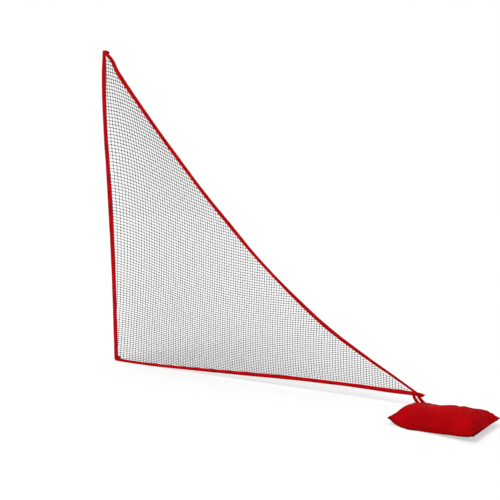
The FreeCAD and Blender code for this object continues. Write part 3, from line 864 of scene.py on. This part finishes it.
bag.data.update()
finer = bag.modifiers.new("smooth_cloth", "SUBSURF")
finer.levels = finer.render_levels = 1
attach(bag, "bag")
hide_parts("sand_fill", "bag_top_panel", "bag_bottom_panel")

# Polyurethane-coated polyester oxford cloth: a clear, matt red, mottled a little, with painted
# shade in the hollows of its weave and a band of painted shade low on the bag near its left
# middle, and with fine creases. Its weave is drawn at 2 mm, four times the real one.
# Painted shade low on the bag: its centre along x, and the heights where it starts and where it is full.
PAINTED_SHADE_X = 2.30
PAINTED_SHADE_TOP, PAINTED_SHADE_FULL = 0.085, 0.045

bag_red, tree = bare_material("coated_oxford_cloth")
uv = add(tree, "UVMap", uv_map="UVMap").outputs["UV"]
place = add(tree, "TexCoord").outputs["Object"]
split = add(tree, "SeparateXYZ", {}, {"Vector": uv}).outputs
warp = ridges(tree, split["X"], 0.002)
weft = ridges(tree, split["Y"], 0.002)
weave = add(tree, "Math", {}, {0: warp, 1: weft}, operation="MULTIPLY").outputs[0]
clouds = add(tree, "TexNoise", {"Scale": 9, "Detail": 5, "Roughness": 0.6}, {"Vector": place})
shade = add(tree, "ValToRGB", {}, {"Fac": clouds.outputs["Fac"]})
shade.color_ramp.elements[0].position = 0.3
shade.color_ramp.elements[0].color = linear("#a6040a")
shade.color_ramp.elements[1].position = 0.75
shade.color_ramp.elements[1].color = linear("#c1050d")
# Painted shade: the low parts of the weave are mixed a little towards a dark maroon.
grid = add(tree, "MapRange", {"From Min": -1, "From Max": 1, "To Min": 0.12, "To Max": 0},
           {"Value": weave}).outputs[0]
woven = add(tree, "Mix", {"B": linear("#7d030a")}, {"Factor": grid, "A": shade.outputs["Color"]},
            data_type="RGBA").outputs["Result"]
creases = add(tree, "TexNoise", {"Scale": 14, "Detail": 6, "Distortion": 0.8}, {"Vector": place})
at = add(tree, "SeparateXYZ", {}, {"Vector": place}).outputs
# Painted shade: the cloth turns towards dark maroon below these heights, near the centre along x.
low = add(tree, "MapRange", {
    "From Min": GROUND + PAINTED_SHADE_TOP, "From Max": GROUND + PAINTED_SHADE_FULL, "To Min": 0, "To Max": 1},
    {"Value": at["Z"]}).outputs[0]
past = add(tree, "Math", {1: PAINTED_SHADE_X}, {0: at["X"]}, operation="SUBTRACT").outputs[0]
off = add(tree, "Math", {}, {0: past}, operation="ABSOLUTE").outputs[0]
near = add(tree, "MapRange", {"From Min": 0.17, "From Max": 0.09, "To Min": 0, "To Max": 0.28},
           {"Value": off}).outputs[0]
painted_shade = add(tree, "Math", {}, {0: low, 1: near}, operation="MULTIPLY").outputs[0]
with_painted_shade = add(tree, "Mix", {"B": linear("#7d030a")}, {"Factor": painted_shade, "A": woven},
              data_type="RGBA").outputs["Result"]
drawn_flat = add(tree, "Mapping", {"Scale": (7, 7, 75)}, {"Vector": place}).outputs["Vector"]
folds = add(tree, "TexNoise", {"Scale": 1, "Detail": 3, "Distortion": 0.5}, {"Vector": drawn_flat})
folded = add(tree, "Math", {}, {0: folds.outputs["Fac"], 1: low, 2: creases.outputs["Fac"]},
             operation="MULTIPLY_ADD").outputs[0]
relief = add(tree, "Bump", {"Strength": 0.4, "Distance": 0.004}, {"Height": folded})
bump = add(tree, "Bump", {"Strength": 0.3, "Distance": 0.0002},
           {"Height": weave, "Normal": relief.outputs["Normal"]})
cover = add(tree, "BsdfPrincipled", {"Roughness": 0.6, "Specular IOR Level": 0.012},
            {"Base Color": with_painted_shade, "Normal": bump.outputs["Normal"]})
add(tree, "OutputMaterial", {}, {"Surface": cover.outputs[0]})
bag.data.materials.append(bag_red)


# ---- The sandbag's seam -----------------------------------------------------------------------
# Round the two ends and the front the panels' edges are turned together and topstitched, which
# leaves a stiff flat edge that stands out about 8 mm and comes to a point at each corner.

EDGE_WIDTH = 0.013
EDGE_THICKNESS = 0.0026
EDGE_OUT = 0.0010
MITRE = 1.414
END_STEPS, FRONT_STEPS = 40, 60

path = []
for v in np.linspace(0, BAG_WIDTH, END_STEPS):
    path.append((0.0, float(v), Vector((-1, 0))))
for u in np.linspace(0, BAG_LENGTH, FRONT_STEPS):
    path.append((float(u), front_of(u), Vector((0, 1))))
for v in np.linspace(BAG_WIDTH, 0, END_STEPS):
    path.append((BAG_LENGTH, float(v), Vector((1, 0))))
left_corner, right_corner = END_STEPS - 1, END_STEPS + FRONT_STEPS
stations = []
for k, (u, v, side) in enumerate(path):
    if k in (left_corner + 1, right_corner - 1):
        continue
    wide = min(1.0, 0.5 + k / 8)
    if k == left_corner:
        side, wide = Vector((-1, 1)), MITRE
    if k == right_corner:
        side, wide = Vector((1, 1)), MITRE
    side = side.normalized()
    out = (bag_along * side.x + bag_forward * side.y).normalized()
    ripple = 0.0007 * noise.noise(Vector((u * 40, v * 40, 2)))
    height = max(seam_height(u, v), EDGE_THICKNESS * 0.6) + ripple
    centre = in_bag(drawn_in(u, v), v, height) + out * EDGE_OUT * wide
    stations.append((centre, out, Vector((0, 0, 1)), wide, 1))
w, t = EDGE_WIDTH / 2, EDGE_THICKNESS / 2
edge = wrapped("sandbag_seam_edge", stations, [
    (-w, -t), (-w * 0.3, -t * 0.8), (w * 0.5, -t), (w * 0.9, -t * 0.8), (w, 0),
    (w * 0.9, t * 0.8), (w * 0.5, t), (-w * 0.3, t * 0.8), (-w, t)])

# The turned edge is four layers of the same cloth, folded away from the light: it is drawn as a
# shaded copy of the cloth, a deep maroon red with painted shade, with a fine row of stitches drawn
# as a rib every 3 mm.
shaded_seam_red, tree = bare_material("turned_oxford_edge")
uv = add(tree, "UVMap", uv_map="UVMap").outputs["UV"]
place = add(tree, "TexCoord").outputs["Object"]
split = add(tree, "SeparateXYZ", {}, {"Vector": uv}).outputs
ribs = ridges(tree, split["X"], 0.003)
spots = add(tree, "TexNoise", {"Scale": 30, "Detail": 4}, {"Vector": place}).outputs["Fac"]
# Painted shade: both colours are the cloth's red, darkened.
shade = add(tree, "ValToRGB", {}, {"Fac": spots})
shade.color_ramp.elements[0].position = 0.35
shade.color_ramp.elements[0].color = linear("#5c0407")
shade.color_ramp.elements[1].position = 0.7
shade.color_ramp.elements[1].color = linear("#80050a")
bump = add(tree, "Bump", {"Strength": 0.4, "Distance": 0.0004}, {"Height": ribs})
cover = add(tree, "BsdfPrincipled", {"Roughness": 0.7, "Specular IOR Level": 0.012},
            {"Base Color": shade.outputs["Color"], "Normal": bump.outputs["Normal"]})
add(tree, "OutputMaterial", {}, {"Surface": cover.outputs[0]})
edge.data.materials.append(shaded_seam_red)
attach(edge, "bag")
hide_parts("bag_seam_welt")


# ---- The zip ----------------------------------------------------------------------------------
# The bag is filled through its back edge, which a moulded zip closes: two black woven tapes sewn
# under the fabric's folded lips, black plastic teeth with end stops, and a coated metal slider.

ZIP_START = 0.094
ZIP_END = 0.406
ZIP_STEPS = 78


def strip_on_back(name, low, high, back, front, bulge=0.0):
    """A strip along the bag's back wall, between two heights from the zip and two depths."""
    low, high = SEAM_HEIGHT + low, SEAM_HEIGHT + high
    middle, half = (low + high) / 2, (high - low) / 2
    deep = (front - back) / 2
    stations = []
    for k in range(ZIP_STEPS + 1):
        u = ZIP_START + (ZIP_END - ZIP_START) * k / ZIP_STEPS
        ripple = 0.0002 * noise.noise(Vector((u * 60, low * 900, 1)))
        centre = in_bag(u, (back + front) / 2, middle + ripple)
        stations.append((centre, Vector((0, 0, 1)), bag_forward, 1, 1))
    return wrapped(name, stations, [
        (-half, -deep), (0, -deep - bulge), (half, -deep), (half, deep), (0, deep), (-half, deep)])


zip_tapes = [strip_on_back("zip_tape_above", 0.0004, 0.0118, 0.0, 0.0008),
             strip_on_back("zip_tape_below", -0.0118, -0.0004, 0.0, 0.0008)]
lips = [strip_on_back("zip_lip_above", 0.0072, 0.0126, -0.0014, 0.0001, 0.0005),
        strip_on_back("zip_lip_below", -0.0126, -0.0072, -0.0014, 0.0001, 0.0005)]

# Woven polyester zip tape: dull black with a fine herringbone, drawn at 1.5 mm.
tape_black, tree = bare_material("woven_zip_tape")
uv = add(tree, "UVMap", uv_map="UVMap").outputs["UV"]
bones = add(tree, "TexWave", {"Scale": 210, "Distortion": 0.6}, {"Vector": uv},
            bands_direction="DIAGONAL")
dark = add(tree, "Mix", {"A": linear("#121214"), "B": linear("#26262a")},
           {"Factor": bones.outputs["Fac"]}, data_type="RGBA")
bump = add(tree, "Bump", {"Strength": 0.5, "Distance": 0.0002}, {"Height": bones.outputs["Fac"]})
cover = add(tree, "BsdfPrincipled", {"Roughness": 0.85, "Sheen Weight": 0.2},
            {"Base Color": dark.outputs["Result"], "Normal": bump.outputs["Normal"]})
add(tree, "OutputMaterial", {}, {"Surface": cover.outputs[0]})
for strip, node in zip(zip_tapes, ("zip_tape_upper", "zip_tape_lower")):
    strip.data.materials.append(tape_black)
    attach(strip, "bag")
    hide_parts(node)
for strip in lips:
    strip.data.materials.append(bag_red)
    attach(strip, "bag")

# Injection-moulded acetal teeth: near-black, smooth, with a soft satin shine and faint flow marks.
acetal, tree = bare_material("moulded_acetal")
place = add(tree, "TexCoord").outputs["Object"]
flow = add(tree, "TexNoise", {"Scale": 260, "Detail": 2}, {"Vector": place})
tone = add(tree, "Mix", {"A": linear("#141416"), "B": linear("#232326")},
           {"Factor": flow.outputs["Fac"]}, data_type="RGBA")
sheen = add(tree, "MapRange", {"To Min": 0.28, "To Max": 0.45}, {"Value": flow.outputs["Fac"]})
cover = add(tree, "BsdfPrincipled", {"IOR": 1.48}, {"Base Color": tone.outputs["Result"],
                                                   "Roughness": sheen.outputs[0]})
add(tree, "OutputMaterial", {}, {"Surface": cover.outputs[0]})

# Die-cast zinc under baked black paint: glossier, with a fine orange-peel and paler rubbed patches.
enamel, tree = bare_material("painted_die_cast_zinc")
place = add(tree, "TexCoord").outputs["Object"]
peel = add(tree, "TexNoise", {"Scale": 1400, "Detail": 1}, {"Vector": place})
rub = add(tree, "TexNoise", {"Scale": 320, "Detail": 4}, {"Vector": place})
worn = add(tree, "ValToRGB", {}, {"Fac": rub.outputs["Fac"]})
worn.color_ramp.elements[0].position = 0.55
worn.color_ramp.elements[0].color = linear("#17171a")
worn.color_ramp.elements[1].position = 0.8
worn.color_ramp.elements[1].color = linear("#3a3a3e")
bump = add(tree, "Bump", {"Strength": 0.15, "Distance": 0.0001}, {"Height": peel.outputs["Fac"]})
cover = add(tree, "BsdfPrincipled", {"Roughness": 0.32, "Coat Weight": 0.3, "Coat Roughness": 0.15},
            {"Base Color": worn.outputs["Color"], "Normal": bump.outputs["Normal"]})
add(tree, "OutputMaterial", {}, {"Surface": cover.outputs[0]})
for node, finish in (("zip_teeth", acetal), ("zip_stops", acetal), ("zip_slider", enamel),
                     ("zip_pull", enamel)):
    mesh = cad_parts[node].data
    mesh.materials.clear()
    mesh.materials.append(finish)


# ---- The strap --------------------------------------------------------------------------------
# A folded length of the bag's own cloth: both ends are sewn flat to the back edge, and the middle
# is bunched where it runs through the ring at the wing's corner. Its feet bend with the bag.

STRAP_WIDTH = 0.023
STRAP_THICKNESS = 0.003
BUNCH_WIDTH = 0.0115
BUNCH_THICKNESS = 0.0070
FOLDS, FOLD_DEPTH = 5, 0.10
SQUARED = 0.75
BEND_R = 0.008
BEND_SIDE, LEG_SIDE = 0.0055, 0.0135
LEFT_ROOT, RIGHT_ROOT = 0.0205, 0.0565


def strap_root(u):
    """The place on the back edge's top where a foot of the strap is sewn down."""
    return in_bag(u, 0.0020, SEAM_HEIGHT - SEAM_HALF + back_growth(u))


def leg_points(side, root):
    """Down one leg, from the bend beside the ring to the seam, leaning over more as it nears it."""
    top = RING_CENTRE + bag_along * side * LEG_SIDE - Vector((0, 0, BEND_R))
    down = root - top
    return [(top + Vector((down.x * s ** 1.15, down.y * s, down.z * s)), s)
            for s in np.linspace(0, 1, 15)]


def bend_points(side):
    """Over the ring and round towards one leg."""
    middle = RING_CENTRE + bag_along * side * BEND_SIDE - Vector((0, 0, BEND_R))
    return [(middle + (Vector((0, 0, 1)) * math.cos(a) + bag_along * side * math.sin(a)) * BEND_R,
             0.0) for a in np.linspace(0, math.pi / 2, 8)[:-1]]


outward = -bag_forward
left = list(reversed(bend_points(-1) + leg_points(-1, strap_root(LEFT_ROOT))))
path = left + [(RING_CENTRE, 0.0)] + bend_points(1) + leg_points(1, strap_root(RIGHT_ROOT))
stations = []
for k, (point, flat) in enumerate(path):
    along = (path[min(len(path) - 1, k + 1)][0] - path[max(0, k - 1)][0]).normalized()
    across = outward.cross(along).normalized()
    wide = BUNCH_WIDTH + (STRAP_WIDTH - BUNCH_WIDTH) * flat ** 0.4
    thick = BUNCH_THICKNESS + (STRAP_THICKNESS - BUNCH_THICKNESS) * flat
    stations.append((point, across, outward, wide / 2, thick / 2))
section = []
for k in range(24):
    a = 2 * math.pi * k / 24
    fold = 1 - FOLD_DEPTH * (0.5 + 0.5 * math.cos(FOLDS * a + 0.6))
    section.append((math.copysign(abs(math.cos(a)) ** SQUARED, math.cos(a)) * fold,
                    math.copysign(abs(math.sin(a)) ** SQUARED, math.sin(a)) * fold))
strap = wrapped("sandbag_strap", stations, section)
strap.data.materials.append(bag_red)
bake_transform(strap, "strap", "bag", start=(2.158, -0.0390, -2.089), end=(2.168, -0.0401, -2.099))
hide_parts("bag_strap")
